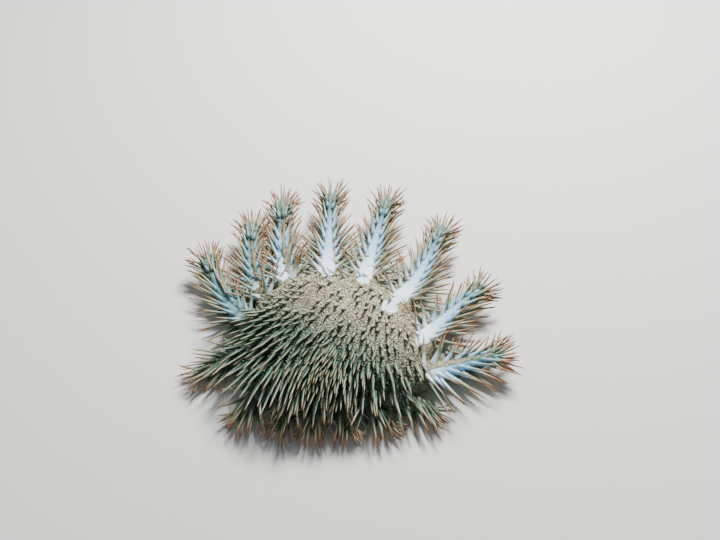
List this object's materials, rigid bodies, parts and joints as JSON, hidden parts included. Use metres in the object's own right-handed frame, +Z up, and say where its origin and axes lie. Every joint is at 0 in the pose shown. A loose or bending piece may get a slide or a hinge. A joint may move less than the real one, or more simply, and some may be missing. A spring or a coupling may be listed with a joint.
{
  "type": "crown of thorns starfish",
  "caption": "Life-size starfish model with a broad domed disc, many tapering arms and a coat of long pointed spines, resting flat on tube feet",
  "frame": {"origin": "centre of the bounding box in plan, at floor level", "axes": "+Z up from the floor, +Y toward the far side where the long arms lie, +X to the right as seen from the near side"},
  "size_m": [0.3412, 0.3102, 0.0592],
  "materials": {
    "disc_skin": "rough living skin, tan and grey green",
    "arm_skin": "rough living skin, pale blue grey"
  },
  "bodies": {
    "root": {"disc": "disc_skin", "arm_01": "arm_skin", "arm_02": "arm_skin", "arm_03": "arm_skin", "arm_04": "arm_skin", "arm_05": "arm_skin", "arm_06": "arm_skin", "arm_07": "arm_skin", "arm_08": "arm_skin", "arm_09": "arm_skin", "arm_10": "arm_skin", "arm_11": "arm_skin", "arm_12": "arm_skin", "arm_13": "arm_skin", "arm_14": "arm_skin", "arm_15": "arm_skin"}
  },
  "joints": []
}
